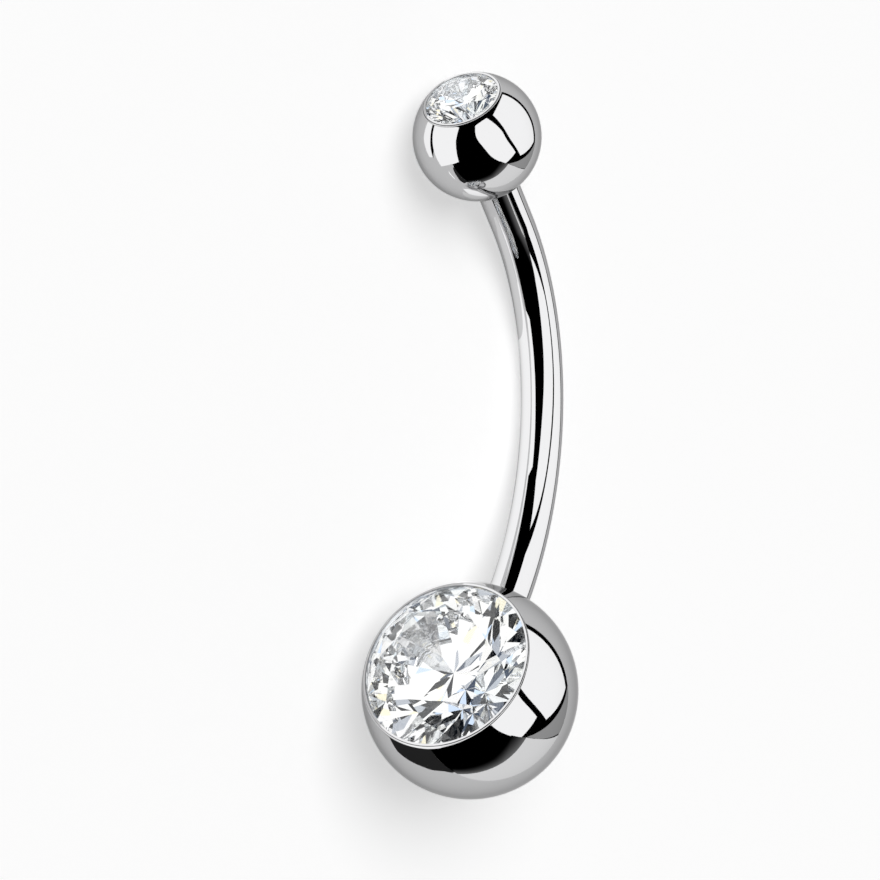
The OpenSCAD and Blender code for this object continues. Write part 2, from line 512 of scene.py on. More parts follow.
class Graph:
    """A node tree, for a material or for a shape."""

    def __init__(self, tree: bpy.types.NodeTree) -> None:
        """Empties the tree."""
        self.tree = tree
        tree.nodes.clear()

    def node(self, kind: str, settings: dict[str, Any] | None = None,
             inputs: dict[str | int, Any] | Sequence[Any] = ()) -> "Made":
        """Makes one node.

        Args:
            kind: The node's type.
            settings: Its properties, which are set first. "stops" holds a ramp's stops and
                "ramp" how they blend.
            inputs: Values or wires for its inputs, by name or number or in order.

        Returns:
            The node, whose outputs are read by name or number.
        """
        made = self.tree.nodes.new(kind)
        for name, value in (settings or {}).items():
            if name == "stops":
                ramp = made.color_ramp
                while len(ramp.elements) < len(value):
                    ramp.elements.new(1.0)
                for stop, (place, colour) in zip(ramp.elements, value):
                    stop.position, stop.color = place, colour
            elif name == "ramp":
                made.color_ramp.interpolation = value
            else:
                setattr(made, name, value)
        named = inputs.items() if isinstance(inputs, dict) else enumerate(inputs)
        for name, value in named:
            if isinstance(value, Wire):
                self.tree.links.new(value.socket, made.inputs[name])
            else:
                made.inputs[name].default_value = value
        return Made(self, made)


class Made:
    """A node that was made, with its outputs as wires."""

    def __init__(self, graph: Graph, node: bpy.types.Node) -> None:
        """Keeps the node."""
        self.graph = graph
        self.node = node

    def __getitem__(self, name: str | int) -> Wire:
        """An output by its name or number."""
        return Wire(self.graph, self.node.outputs[name])


def start_material(name: str) -> tuple[bpy.types.Material, Graph]:
    """Starts a material.

    Args:
        name: Its name.

    Returns:
        The material and its node tree, emptied.
    """
    made = bpy.data.materials.new(name)
    made.use_nodes = True
    return made, Graph(made.node_tree)


def put(name: str, data: bpy.types.ID) -> bpy.types.Object:
    """Puts a mesh, lamp or camera in the scene.

    Args:
        name: The object's name.
        data: What it shows.

    Returns:
        The object.
    """
    made = bpy.data.objects.new(name, data)
    bpy.context.scene.collection.objects.link(made)
    return made


def store(mesh: bpy.types.Mesh, name: str, domain: str, values: Sequence[float]) -> None:
    """Stores a number for each point or face of a mesh."""
    mesh.attributes.new(name, "FLOAT", domain).data.foreach_set("value", values)


@dataclass(frozen=True)
class Metal:
    """Titanium with one finish, with sizes in millimetres. The groove's near-black is painted
    shade, partly polishing compound, and the seat's glow is painted light.
    """

    name: str
    colour: tuple[float, float, float]
    roughness: float
    haze: float
    haze_size: float
    mark_size: float
    mark_depth: float
    # An even glow in the metal's own colour: painted light, not a lamp.
    glow: float = 0.0
    edge_tone: float = 0.5
    haze_range: tuple[float, float] = (0.1, 0.5)
    mark_turn: tuple[float, float, float] = (0.4, 0.9, 0.2)
    mark_scale: tuple[float, float, float] = (1.0, 1.0, 0.06)

    def material(self) -> bpy.types.Material:
        """Makes the material.

        Returns:
            A metal whose gloss changes a little from place to place, with fine marks across it, and
            with an even glow of its own colour as painted light where glow is set.
        """
        made, graph = start_material(self.name)
        place = graph.node("ShaderNodeTexCoord")["Object"]
        haze = graph.node("ShaderNodeTexNoise", {}, {
            "Vector": place, "Scale": 1 / (self.haze_size * MM), "Detail": 3.0})["Fac"]
        along = graph.node("ShaderNodeMapping", {}, {
            "Vector": place, "Rotation": self.mark_turn, "Scale": self.mark_scale})["Vector"]
        marks = graph.node("ShaderNodeTexNoise", {}, {
            "Vector": along, "Scale": 1 / (self.mark_size * MM), "Detail": 2.0})["Fac"]
        bump = graph.node("ShaderNodeBump", {}, {
            "Strength": 1.0, "Distance": self.mark_depth * MM, "Height": marks})["Normal"]
        gloss = self.roughness + (haze * marks).between(*self.haze_range) * self.haze
        colour, edge = (*self.colour, 1), (*[self.edge_tone] * 3, 1)
        surface = graph.node("ShaderNodeBsdfPrincipled", {}, {
            "Base Color": colour, "Metallic": 1.0, "Roughness": gloss, "Specular Tint": edge,
            "Emission Color": colour, "Emission Strength": self.glow, "Normal": bump})["BSDF"]
        graph.node("ShaderNodeOutputMaterial", {}, {"Surface": surface})
        return made


@dataclass(frozen=True)
class Zirconia:
    """Clear cut stone, each facet with a faint painted tint that stands in for the coloured flashes
    of fire.
    """

    name: str
    refraction: float
    painted_fire: float
    gleam: float

    def material(self) -> bpy.types.Material:
        """Makes the material.

        Returns:
            Clear glass that bends light as zirconia does.
        """
        made, graph = start_material(self.name)
        # Each facet's hue picks a painted tint that stands in for the coloured flashes of fire.
        hue = graph.node("ShaderNodeAttribute", {"attribute_name": "facet"})["Fac"]
        low, high = 1 - self.painted_fire, 1.0
        colour = graph.node("ShaderNodeValToRGB", {"stops": [
            (0.0, (low, high, high, 1)), (0.3, (high, high, high, 1)),
            (0.7, (high, high, high, 1)), (1.0, (high, high, low, 1))]}, {"Fac": hue})["Color"]
        surface = graph.node("ShaderNodeBsdfPrincipled", {}, {
            "Base Color": colour, "Roughness": 0.0, "IOR": self.refraction,
            "Specular Tint": (*[self.gleam] * 3, 1), "Transmission Weight": 1.0})["BSDF"]
        graph.node("ShaderNodeOutputMaterial", {}, {"Surface": surface})
        return made


class Layout:
    """Where the ring lies: turns what is drawn upright, in millimetres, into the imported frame."""

    def __init__(self, bar: BarSizes, top: BallSizes, bottom: BallSizes,
                 bottom_tip: float) -> None:
        """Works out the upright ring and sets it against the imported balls.

        Args:
            bar: Sizes of the bar.
            top: Sizes of the top ball.
            bottom: Sizes of the bottom ball.
            bottom_tip: Angle that the bottom stone is tipped up, in degrees.
        """
        half = bar.half_angle
        self.bar = bar
        self.curve_centre = Vector((bar.curve_r, 0, 0))
        self.top_dir = Vector((math.sin(half), 0, math.cos(half)))
        self.bottom_dir = Vector((math.sin(half), 0, -math.cos(half)))
        self.top_centre = self.on_curve(half) + self.top_dir * (bar.top_straight + top.ball_r)
        self.bottom_centre = (
            self.on_curve(-half) + self.bottom_dir * (bottom.ball_r - bar.socket_depth))
        tip = math.radians(bottom_tip)
        self.bottom_stone_dir = Vector((math.cos(tip), 0, math.sin(tip)))
        low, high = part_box("bottom_ball")
        reach = bottom.ball_r * MM
        bottom_lies = Vector((high.x - reach, high.y - reach, low.z + reach))
        low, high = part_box("top_ball")
        reach = top.ball_r * MM
        top_lies = Vector((low.x + reach, low.y + reach, low.z + reach))
        slide = Vector(next(j for j in frame["joints"] if j["name"] == "ball_off")["axis"])
        drawn = self._basis(self.top_centre - self.bottom_centre, self.top_dir)
        lies = self._basis(top_lies - bottom_lies, slide)
        turn = (lies @ drawn.transposed()).to_4x4()
        shift = Matrix.Translation(bottom_lies - turn @ self.bottom_centre * MM)
        self.matrix = shift @ turn @ Matrix.Scale(MM, 4)

    @staticmethod
    def _basis(first: Vector, second: Vector) -> Matrix:
        """Three square axes from two directions.

        Args:
            first: The direction of the first axis.
            second: A direction in the plane of the first two axes.

        Returns:
            The axes, as columns.
        """
        one = first.normalized()
        two = (second - one * second.dot(one)).normalized()
        return Matrix((one, two, one.cross(two))).transposed()

    def on_curve(self, angle: float) -> Vector:
        """A point of the bar's middle line, by its angle above the curve's centre."""
        return self.curve_centre + self.bar.curve_r * Vector(
            (-math.cos(angle), 0, math.sin(angle)))

    def curve(self) -> Matrix:
        """Places what is drawn round z, with the curve's top end on x."""
        turn = Matrix.Rotation(math.pi / 2, 4, "X") @ Matrix.Rotation(
            math.pi - self.bar.half_angle, 4, "Z")
        return self.matrix @ Matrix.Translation(self.curve_centre) @ turn

    def facing(self, centre: Vector, towards: Vector) -> Matrix:
        """Places what is drawn along z so that it points in a direction of the ring's plane."""
        tilt = math.atan2(towards.x, towards.z)
        return self.matrix @ Matrix.Translation(centre) @ Matrix.Rotation(tilt, 4, "Y")


class SweepTree:
    """Geometry Nodes that turn an outline round a bar's middle line, with its thread."""

    def __init__(self) -> None:
        """Builds the tree."""
        self.tree = bpy.data.node_groups.new("turn_round_bar", "GeometryNodeTree")
        face = self.tree.interface
        kinds = {"Geometry": "NodeSocketGeometry", "Sides": "NodeSocketInt",
                 "Curve radius": "NodeSocketFloat", "Curve angle": "NodeSocketFloat",
                 "Thread pitch": "NodeSocketFloat"}
        kinds |= {finish.label: "NodeSocketMaterial" for finish in Finish}
        self.sockets = {name: face.new_socket(name, in_out="INPUT", socket_type=kind).identifier
                        for name, kind in kinds.items()}
        face.new_socket("Geometry", in_out="OUTPUT", socket_type="NodeSocketGeometry")
        graph = Graph(self.tree)
        given = graph.node("NodeGroupInput")
        tube = self._tube(graph, given)
        placed = graph.node("GeometryNodeSetPosition", {}, {
            "Geometry": tube, "Position": self._place(graph, given)})["Geometry"]
        value = self._named(graph, "finish")
        for finish in Finish:
            placed = graph.node("GeometryNodeSetMaterial", {}, {
                "Geometry": placed, "Selection": value > finish.value - 0.5,
                "Material": given[finish.label]})["Geometry"]
        closed = graph.node("GeometryNodeMergeByDistance", {}, {
            "Geometry": placed, "Distance": MERGE_MM})["Geometry"]
        sharp = graph.node("GeometryNodeInputMeshEdgeAngle")["Unsigned Angle"] > SHARP
        smooth = graph.node("GeometryNodeSetShadeSmooth", {"domain": "FACE"}, {
            "Geometry": closed, "Shade Smooth": True})["Geometry"]
        edged = graph.node("GeometryNodeSetShadeSmooth", {"domain": "EDGE"}, {
            "Geometry": smooth, "Selection": sharp, "Shade Smooth": False})["Geometry"]
        real = graph.node("GeometryNodeRealizeInstances", {}, {"Geometry": edged})["Geometry"]
        graph.node("NodeGroupOutput", {}, {"Geometry": real})

    @staticmethod
    def _named(graph: Graph, name: str) -> Wire:
        """A value that is stored on the shape."""
        return graph.node("GeometryNodeInputNamedAttribute", {"data_type": "FLOAT"},
                          {"Name": name})["Attribute"]

    @staticmethod
    def _tube(graph: Graph, given: Made) -> Wire:
        """A straight tube with a ring for each point of the outline.

        Args:
            graph: The tree.
            given: The tree's inputs.

        Returns:
            The tube, whose points know the angle at which they stand.
        """
        line = graph.node("GeometryNodeMeshToCurve", {}, {"Mesh": given["Geometry"]})["Curve"]
        ring = graph.node("GeometryNodeCurvePrimitiveCircle", {"mode": "RADIUS"}, {
            "Resolution": given["Sides"], "Radius": 1.0})["Curve"]
        turn = graph.node("GeometryNodeInputIndex")["Index"] / given["Sides"] * math.tau
        marked = graph.node("GeometryNodeStoreNamedAttribute", {
            "data_type": "FLOAT", "domain": "POINT"}, {
            "Geometry": ring, "Name": "turn", "Value": turn})["Geometry"]
        return graph.node("GeometryNodeCurveToMesh", {}, {
            "Curve": line, "Profile Curve": marked, "Fill Caps": False})["Mesh"]

    def _place(self, graph: Graph, given: Made) -> Wire:
        """Where each point goes: round the middle line, and out by its radius and thread.

        Args:
            graph: The tree.
            given: The tree's inputs.

        Returns:
            The point's place.
        """
        station, turn = self._named(graph, "station"), self._named(graph, "turn")
        depth = self._named(graph, "depth")
        wave = (station / given["Thread pitch"] * math.tau + turn).cos()
        out = self._named(graph, "reach") + 0.5 * (depth - abs(depth) * wave)
        angle = (station / given["Curve radius"]).between(0.0, given["Curve angle"])
        past = station - angle * given["Curve radius"]
        reach = given["Curve radius"] + out * turn.cos()
        return graph.node("ShaderNodeCombineXYZ", {}, {
            "X": reach * angle.cos() - past * angle.sin(),
            "Y": reach * angle.sin() + past * angle.cos(),
            "Z": out * turn.sin()})["Vector"]

    def run(self, name: str, section: Section, bar: BarSizes, sides: int,
            metals: dict[Finish, bpy.types.Material], layout: Layout) -> bpy.types.Mesh:
        """Turns one outline.

        Args:
            name: The mesh's name.
            section: The outline, with heights counted along the bar's middle line.
            bar: Sizes of the curve and the thread.
            sides: How many points each ring has.
            metals: The material of each finish.
            layout: Where the ring lies.

        Returns:
            A plain mesh, in place.
        """
        host = put(name, self._chain(name, section))
        modifier = host.modifiers.new("turn", "NODES")
        modifier.node_group = self.tree
        values = {"Sides": sides, "Curve radius": bar.curve_r,
                  "Curve angle": bar.half_angle * 2, "Thread pitch": bar.thread_pitch}
        values |= {finish.label: metals[finish] for finish in Finish}
        for label, value in values.items():
            modifier[self.sockets[label]] = value
        graph = bpy.context.evaluated_depsgraph_get()
        mesh = bpy.data.meshes.new_from_object(host.evaluated_get(graph), depsgraph=graph)
        host.modifiers.remove(modifier)
        bpy.data.objects.remove(host)
        mesh.transform(layout.curve())
        face_outwards(mesh)
        self._set_normals(mesh, bar, layout.curve())
        return mesh

    @staticmethod
    def _set_normals(mesh: bpy.types.Mesh, bar: BarSizes, place: Matrix) -> None:
        """Gives the turned surfaces their exact normals, and clears the outline's numbers.

        Args:
            mesh: The turned mesh, in place.
            bar: Sizes of the curve.
            place: Where the curve lies.
        """
        values = {label: np.empty(len(mesh.vertices), np.float32) for label in LABELS}
        for label, column in values.items():
            mesh.attributes[label].data.foreach_get("value", column)
            mesh.attributes.remove(mesh.attributes[label])
        turn, lean, rise = values["turn"], values["lean"], values["rise"]
        angle = np.clip(values["station"] / bar.curve_r, 0, 2 * bar.half_angle)
        cos, sin, out = np.cos(angle), np.sin(angle), np.cos(turn) * rise
        normals = np.stack((
            out * cos - lean * sin, out * sin + lean * cos, np.sin(turn) * rise), axis=1)
        normals[(rise == 0) & (lean == 0)] = 0.0
        turned = normals @ np.array(place.to_3x3().normalized()).T
        mesh.normals_split_custom_set_from_vertices(turned.tolist())

    @staticmethod
    def _chain(name: str, section: Section) -> bpy.types.Mesh:
        """The outline as a row of points that carry its numbers.

        Args:
            name: The mesh's name.
            section: The outline.

        Returns:
            A mesh of points and edges.
        """
        rows = section.rows()
        columns = {"station": [r.height for r in rows], "reach": [r.radius for r in rows],
                   "depth": [r.depth for r in rows],
                   "finish": [float(r.finish.value) for r in rows],
                   "lean": [r.lean for r in rows], "rise": [r.rise for r in rows]}
        mesh = bpy.data.meshes.new(name)
        mesh.from_pydata([(i, 0, 0) for i in range(len(rows))],
                         [(i, i + 1) for i in range(len(rows) - 1)], [])
        for label, column in columns.items():
            store(mesh, label, "POINT", column)
        return mesh


class Skin:
    """A closed skin of rings from pole to pole, each with the same number of points."""

    def __init__(self, sides: int) -> None:
        """Starts with no rings.

        Args:
            sides: How many points each ring has.
        """
        angles = np.linspace(0, math.tau, sides, endpoint=False)
        self.sides = sides
        self.cos, self.sin = np.cos(angles)[:, None], np.sin(angles)[:, None]
        self.points: list[np.ndarray] = []
        self.normals: list[np.ndarray] = []
        self.finishes: list[Finish] = []

    def turn(self, rows: Sequence[Row], axis: np.ndarray, spoke: np.ndarray,
             across: np.ndarray) -> "Skin":
        """Adds a ring for each point of an outline.

        Args:
            rows: The outline.
            axis: The axis that it turns round.
            spoke: Where each ring starts, square to the axis.
            across: The direction that each ring sets off in.

        Returns:
            The skin itself.
        """
        out = self.cos * spoke + self.sin * across
        for row in rows:
            self.points.append(row.height * axis + row.radius * out)
            self.normals.append(row.lean * axis + row.rise * out)
            self.finishes.append(row.finish)
        return self

    def circle(self, centre: np.ndarray, spoke: np.ndarray, across: np.ndarray) -> "Skin":
        """Adds a ring of a ball that stands about the origin.

        Args:
            centre: Middle of the ring.
            spoke: From the middle to where the ring starts.
            across: From the middle to a quarter of the way round.

        Returns:
            The skin itself.
        """
        points = centre + self.cos * spoke + self.sin * across
        self.points.append(points)
        self.normals.append(points / np.linalg.norm(points, axis=1)[:, None])
        self.finishes.append(Finish.POLISHED)
        return self

    def mesh(self, name: str, place: Matrix) -> bpy.types.Mesh:
        """Joins the rings.

        Args:
            name: The mesh's name.
            place: Where it lies.

        Returns:
            A closed mesh whose materials are numbered as the finishes are.
        """
        count, sides = len(self.points), self.sides
        ring = np.arange(sides)
        after = (ring + 1) % sides
        faces = np.concatenate([
            np.stack((ring, after, after + sides, ring + sides), axis=1) + i * sides
            for i in range(count - 1)])
        mesh = bpy.data.meshes.new(name)
        mesh.from_pydata(np.concatenate(self.points).tolist(), [], faces.tolist())
        slots = np.repeat([finish.value for finish in self.finishes[1:]], sides)
        mesh.polygons.foreach_set("material_index", slots.astype(np.int32))
        normals = mesh.attributes.new("out", "FLOAT_VECTOR", "POINT")
        normals.data.foreach_set("vector", np.concatenate(self.normals).ravel())
        shape = bmesh.new()
        shape.from_mesh(mesh)
        bmesh.ops.remove_doubles(shape, verts=shape.verts, dist=MERGE_MM)
        shape.to_mesh(mesh)
        shape.free()
        mesh.transform(place)
        face_outwards(mesh)
        mesh.shade_smooth()
        mesh.set_sharp_from_angle(angle=SHARP)
        exact = np.empty(3 * len(mesh.vertices), np.float32)
        mesh.attributes["out"].data.foreach_get("vector", exact)
        mesh.attributes.remove(mesh.attributes["out"])
        turned = exact.reshape(-1, 3) @ np.array(place.to_3x3().normalized()).T
        mesh.normals_split_custom_set_from_vertices(turned.tolist())
        return mesh


def face_outwards(mesh: bpy.types.Mesh) -> None:
    """Turns a closed mesh the right way out.

    Args:
        mesh: The mesh, whose faces all turn the same way.
    """
    shape = bmesh.new()
    shape.from_mesh(mesh)
    if shape.calc_volume(signed=True) < 0:
        mesh.flip_normals()
    shape.free()


def make_piece(name: str, mesh: bpy.types.Mesh, body: str, slot: str, *nodes: str,
               materials: Sequence[bpy.types.Material] = ()) -> bpy.types.Object:
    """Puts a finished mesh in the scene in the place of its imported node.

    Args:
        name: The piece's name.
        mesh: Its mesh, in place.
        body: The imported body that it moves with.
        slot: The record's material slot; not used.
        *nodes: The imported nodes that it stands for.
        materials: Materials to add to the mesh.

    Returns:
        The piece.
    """
    mesh.name = name
    for material in materials:
        mesh.materials.append(material)
    piece = put(name, mesh)
    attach(piece, body)
    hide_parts(*nodes)
    LOG.info("%s: %d faces", name, len(mesh.polygons))
    return piece


@dataclass(frozen=True)
class Bar:
    """The curved post, with its cupped and threaded upper end and the spigot below."""

    sizes: BarSizes
    top_ball_r: float
    sides: int = 128
    edge: float = 0.05
    spigot_steps: int = 4
    curve_steps: int = 96

    def outline(self) -> Section:
        """The bar's outline, from the spigot's end over the bar and down the bore.

        Returns:
            The outline, with heights counted along the middle line from the curve's top end.
        """
        s = self.sizes
        cup_r = self.top_ball_r + s.cup_gap
        ball_at = -s.top_straight - self.top_ball_r
        spigot_r, bore_r = s.spigot_d / 2, s.thread_d / 2 + s.thread_gap
        spigot_end = s.curve_l + s.spigot_l - s.socket_gap
        lip = (ball_at + math.sqrt(cup_r**2 - s.bar_r**2), s.bar_r)
        mouth = (ball_at + math.sqrt(cup_r**2 - bore_r**2), bore_r)
        bottom = s.post_l - s.top_straight + s.post_end_gap
        thread_l = s.post_l - s.neck_l
        return (
            Section((spigot_end, 0.0))
            .bend((spigot_end, spigot_r), (s.curve_l, spigot_r), self.edge)
            .line(s.curve_l, spigot_r, steps=self.spigot_steps)
            .bend((s.curve_l, s.bar_r), (0, s.bar_r), self.edge)
            .line(0.0, s.bar_r, steps=self.curve_steps)
            .bend(lip, mouth, self.edge / 2)
            .bend(mouth, (bottom, bore_r), self.edge / 2)
            .line(mouth[0] + self.edge, bore_r, Finish.CUT)
            .thread(thread_l, bore_r, -s.thread_depth, s.thread_pitch)
            .line(bottom, bore_r, Finish.CUT)
            .line(bottom, 0.0, Finish.CUT)
        )

    def build(self, layout: Layout, tree: SweepTree,
              metals: dict[Finish, bpy.types.Material]) -> bpy.types.Object:
        """Makes the bar.

        Args:
            layout: Where the ring lies.
            tree: The nodes that turn an outline.
            metals: The material of each finish.

        Returns:
            The piece.
        """
        mesh = tree.run("bar_mesh", self.outline(), self.sizes, self.sides, metals, layout)
        return make_piece("curved_bar", mesh, "bar", "polished_bar", "bar")


@dataclass(frozen=True)
class TopBall:
    """The small ball with its threaded post."""

    bar: BarSizes
    ball: BallSizes
    sides: int = 192
    fillet: float = 0.06
    ball_steps: int = 90
    fillet_steps: int = 6
    dome_steps: int = 16

    def outline(self) -> Section:
        """The ball's outline, from the middle of its seat to the tip of its post.

        Returns:
            The outline, with heights counted from the ball's centre towards the stone.
        """
        b, ball_r = self.bar, self.ball.ball_r
        root = b.thread_d / 2 - b.thread_depth
        dome_z = root - ball_r - b.post_l
        fillet_r = root + self.fillet
        fillet_z = -math.sqrt((ball_r + self.fillet) ** 2 - fillet_r**2)
        return (
            self.ball.setting()
            .arc((0, 0), math.atan2(fillet_r, fillet_z), self.ball_steps)
            .arc((fillet_z, fillet_r), -math.pi / 2, self.fillet_steps)
            .line(-ball_r - b.neck_l, root)
            .thread(dome_z + ball_r + b.neck_l, root, b.thread_depth, b.thread_pitch)
            .arc((dome_z, 0.0), math.pi, self.dome_steps, Finish.CUT)
        )

    def build(self, layout: Layout, tree: SweepTree,
              metals: dict[Finish, bpy.types.Material]) -> bpy.types.Object:
        """Makes the ball and its post.

        Args:
            layout: Where the ring lies.
            tree: The nodes that turn an outline.
            metals: The material of each finish.

        Returns:
            The piece.
        """
        ball_at = -self.bar.top_straight - self.ball.ball_r
        section = self.outline().turned_over(ball_at)
        mesh = tree.run("top_ball_mesh", section, self.bar, self.sides, metals, layout)
        return make_piece("small_ball", mesh, "top_ball", "polished_ball", "top_ball")


@dataclass(frozen=True)
class BottomBall:
    """The large ball, with the seat for its stone and the socket for the bar."""

    bar: BarSizes
    ball: BallSizes
    sides: int = 192
    rings: int = 128
    edge: float = 0.03

    @property
    def wall_r(self) -> float:
        """Radius of the socket round the bar."""
        return self.bar.bar_r + self.bar.socket_gap

    @property
    def mouth_r(self) -> float:
        """Radius at which the rounding of the socket's mouth ends."""
        return self.wall_r + 2 * self.edge

    def socket(self) -> Section:
        """The socket's outline, from the middle of its bottom to the ball's surface.

        Returns:
            The outline, with heights counted from the ball's centre.
        """
        b, ball_r = self.bar, self.ball.ball_r
        hole_r, wall_r = b.spigot_d / 2 + b.socket_gap, self.wall_r
        floor_z = ball_r - b.socket_depth - b.spigot_l
        step_z = ball_r - b.socket_depth - b.socket_gap
        mouth = (math.sqrt(ball_r**2 - self.mouth_r**2), self.mouth_r)
        return (
            Section((floor_z, 0.0))
            .line(floor_z, hole_r, Finish.CUT)
            .line(step_z, hole_r, Finish.CUT)
            .line(step_z, wall_r, Finish.CUT)
            .bend((math.sqrt(ball_r**2 - wall_r**2), wall_r), mouth, self.edge)
            .line(*mouth)
        )

    def build(self, layout: Layout, metals: dict[Finish, bpy.types.Material]) -> bpy.types.Object:
        """Makes the ball.

        Args:
            layout: Where the ring lies.
            metals: The material of each finish.

        Returns:
            The piece.
        """
        stone_dir, socket_dir = layout.bottom_stone_dir, -layout.bottom_dir
        axis, across = np.array((0.0, 0.0, 1.0)), np.array((0.0, 1.0, 0.0))
        apart = stone_dir.angle(socket_dir)
        spoke = np.array((1.0, 0.0, 0.0))
        skin = Skin(self.sides).turn(self.ball.setting().rows(), axis, spoke, across)
        self._ball_rings(skin, math.tau - apart)
        socket_axis = np.array((-math.sin(apart), 0.0, math.cos(apart)))
        socket_spoke = np.array((-math.cos(apart), 0.0, -math.sin(apart)))
        skin.turn(self.socket().rows()[::-1], socket_axis, socket_spoke, across)
        place = layout.facing(layout.bottom_centre, stone_dir)
        mesh = skin.mesh("bottom_ball_mesh", place)
        return make_piece("large_ball", mesh, "bar", "polished_ball", "bottom_ball",
                          materials=[metals[finish] for finish in Finish])

    def _ball_rings(self, skin: Skin, socket_at: float) -> None:
        """Adds the rings between the rim and the socket, which all lean on one line.

        Args:
            skin: The skin.
            socket_at: Angle of the socket from the stone's axis, the long way round.
        """
        ball_r, across = self.ball.ball_r, np.array((0.0, 1.0, 0.0))
        first, last = self.ball.open_angle, socket_at - math.asin(self.mouth_r / ball_r)
        planes = np.array(((0.0, 1.0), (math.sin(socket_at), math.cos(socket_at))))
        heights = ball_r * np.array((math.cos(first), math.cos(socket_at - last)))
        pivot = np.linalg.solve(planes, heights)
        for angle in np.linspace(first, last, self.rings + 1)[1:-1]:
            far = ball_r * np.array((math.sin(angle), math.cos(angle)))
            way = far - pivot
            near = pivot + way * (pivot @ pivot - ball_r**2) / (way @ way)
            centre, spoke = (far + near) / 2, (far - near) / 2
            skin.circle(np.array((centre[0], 0.0, centre[1])),
                        np.array((spoke[0], 0.0, spoke[1])), across * np.linalg.norm(spoke))


@dataclass(frozen=True)
class Brilliant:
    """A round brilliant stone of 57 facets in its setting."""

    name: str
    ball: BallSizes
    # These hues pick each facet's painted tint of fire.
    table_hue: float = 0.5
    kind_hue: float = 0.17
    facet_hue: float = 0.382

    def build(self, place: Matrix, body: str, node: str,
              material: bpy.types.Material) -> bpy.types.Object:
        """Makes the stone.

        Args:
            place: Where its ball lies, with the stone along z.
            body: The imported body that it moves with.
            node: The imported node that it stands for.
            material: The stone's material.

        Returns:
            The piece.
        """
        points, faces, hues = self._facets()
        cut = self.ball.stone
        mesh = bpy.data.meshes.new(self.name)
        mesh.from_pydata(points, [], faces)
        # Each facet's number picks its painted tint of fire in the stone's material.
        store(mesh, "facet", "FACE", hues)
        mesh.transform(place @ Matrix.Translation((0, 0, self.ball.stone_z))
                       @ Matrix.Rotation(math.radians(cut.turn), 4, "Z"))
        face_outwards(mesh)
        return make_piece(self.name, mesh, body, "clear_stone", node, materials=(material,))

    def _facets(self) -> tuple[list[tuple[float, float, float]], list[list[int]], list[float]]:
        """Points, facets and a hue for each facet, from the cut's proportions.

        Returns:
            The points about the middle of the girdle, the faces, and a number for each.
        """
        cut = self.ball.stone
        mains, sides, small = cut.mains, cut.girdle_sides, cut.small_facet
        around, side = 2 * mains * sides, small / sides
        edge_z, half_cos = cut.girdle_half, math.cos(small / 2)
        star_z = cut.crown_z(cut.star_r * math.cos(small))
        lower_z = cut.pavilion_z(cut.lower_r * math.cos(small))
        fall = (star_z - edge_z) / (half_cos * (cut.radius - cut.star_r))
        rise = (-edge_z - lower_z) / (half_cos * (cut.radius - cut.lower_r))
        arch = [cut.radius * (math.cos((j % sides) * side - small / 2) - half_cos)
                for j in range(around)]

        def polar(radius: float, angle: float, height: float) -> tuple[float, float, float]:
            """A point by its distance from the axis, its angle and its height."""
            return radius * math.cos(angle), radius * math.sin(angle), height

        table_z = cut.crown_z(cut.table_r)
        points = [polar(cut.table_r, 2 * k * small, table_z) for k in range(mains)]
        points += [polar(cut.star_r, (2 * k + 1) * small, star_z) for k in range(mains)]
        points += [polar(cut.radius, j * side, edge_z - fall * arch[j]) for j in range(around)]
        points += [polar(cut.radius, j * side, rise * arch[j] - edge_z) for j in range(around)]
        points += [polar(cut.lower_r, (2 * k + 1) * small, lower_z) for k in range(mains)]
        points.append((0.0, 0.0, cut.pavilion_z(0)))
        star = mains
        upper = star + mains
        under = upper + around
        low = under + around
        culet = low + mains
        table = [list(range(mains))]
        stars = [[k, star + k, (k + 1) % mains] for k in range(mains)]
        kites = [[k, star + (k - 1) % mains, upper + 2 * k * sides, star + k]
                 for k in range(mains)]
        uppers = [[star + k // 2] + [upper + (k * sides + j) % around for j in range(sides + 1)]
                  for k in range(2 * mains)]
        girdle = [[upper + j, under + j, under + (j + 1) % around, upper + (j + 1) % around]
                  for j in range(around)]
        lowers = [[low + k // 2] + [under + (k * sides + j) % around
                                    for j in range(sides, -1, -1)] for k in range(2 * mains)]
        pavilion = [[culet, low + k, under + 2 * k * sides, low + (k - 1) % mains]
                    for k in range(mains)]
        faces, hues = list(table), [self.table_hue]
        for kind in (stars, kites, uppers, girdle, lowers, pavilion):
            faces += kind
            hues += [(k * self.facet_hue + self.kind_hue * len(kind[0])) % 1
                     for k in range(len(kind))]
        return points, faces, hues


def hang_card(name: str, corners: list[Vector], glows: list[float]) -> bpy.types.Object:
    """Hangs a flat card that only reflections see.

    Args:
        name: The card's name.
        corners: Where its corners are.
        glows: How bright it is at each corner. The light falls off as the square of this.

    Returns:
        The card.
    """
    mesh = bpy.data.meshes.new(name)
    mesh.from_pydata(corners, [], [list(range(len(corners)))])
    store(mesh, "glow", "POINT", glows)
    material, graph = start_material(name)
    glow = graph.node("ShaderNodeAttribute", {"attribute_name": "glow"})["Fac"]
    light = graph.node("ShaderNodeEmission", {}, {"Strength": glow * glow})["Emission"]
    graph.node("ShaderNodeOutputMaterial", {}, {"Surface": light})
    mesh.materials.append(material)
    card = put(name, mesh)
    card.visible_camera = card.visible_shadow = False
    card.visible_diffuse = card.visible_transmission = False
    return card


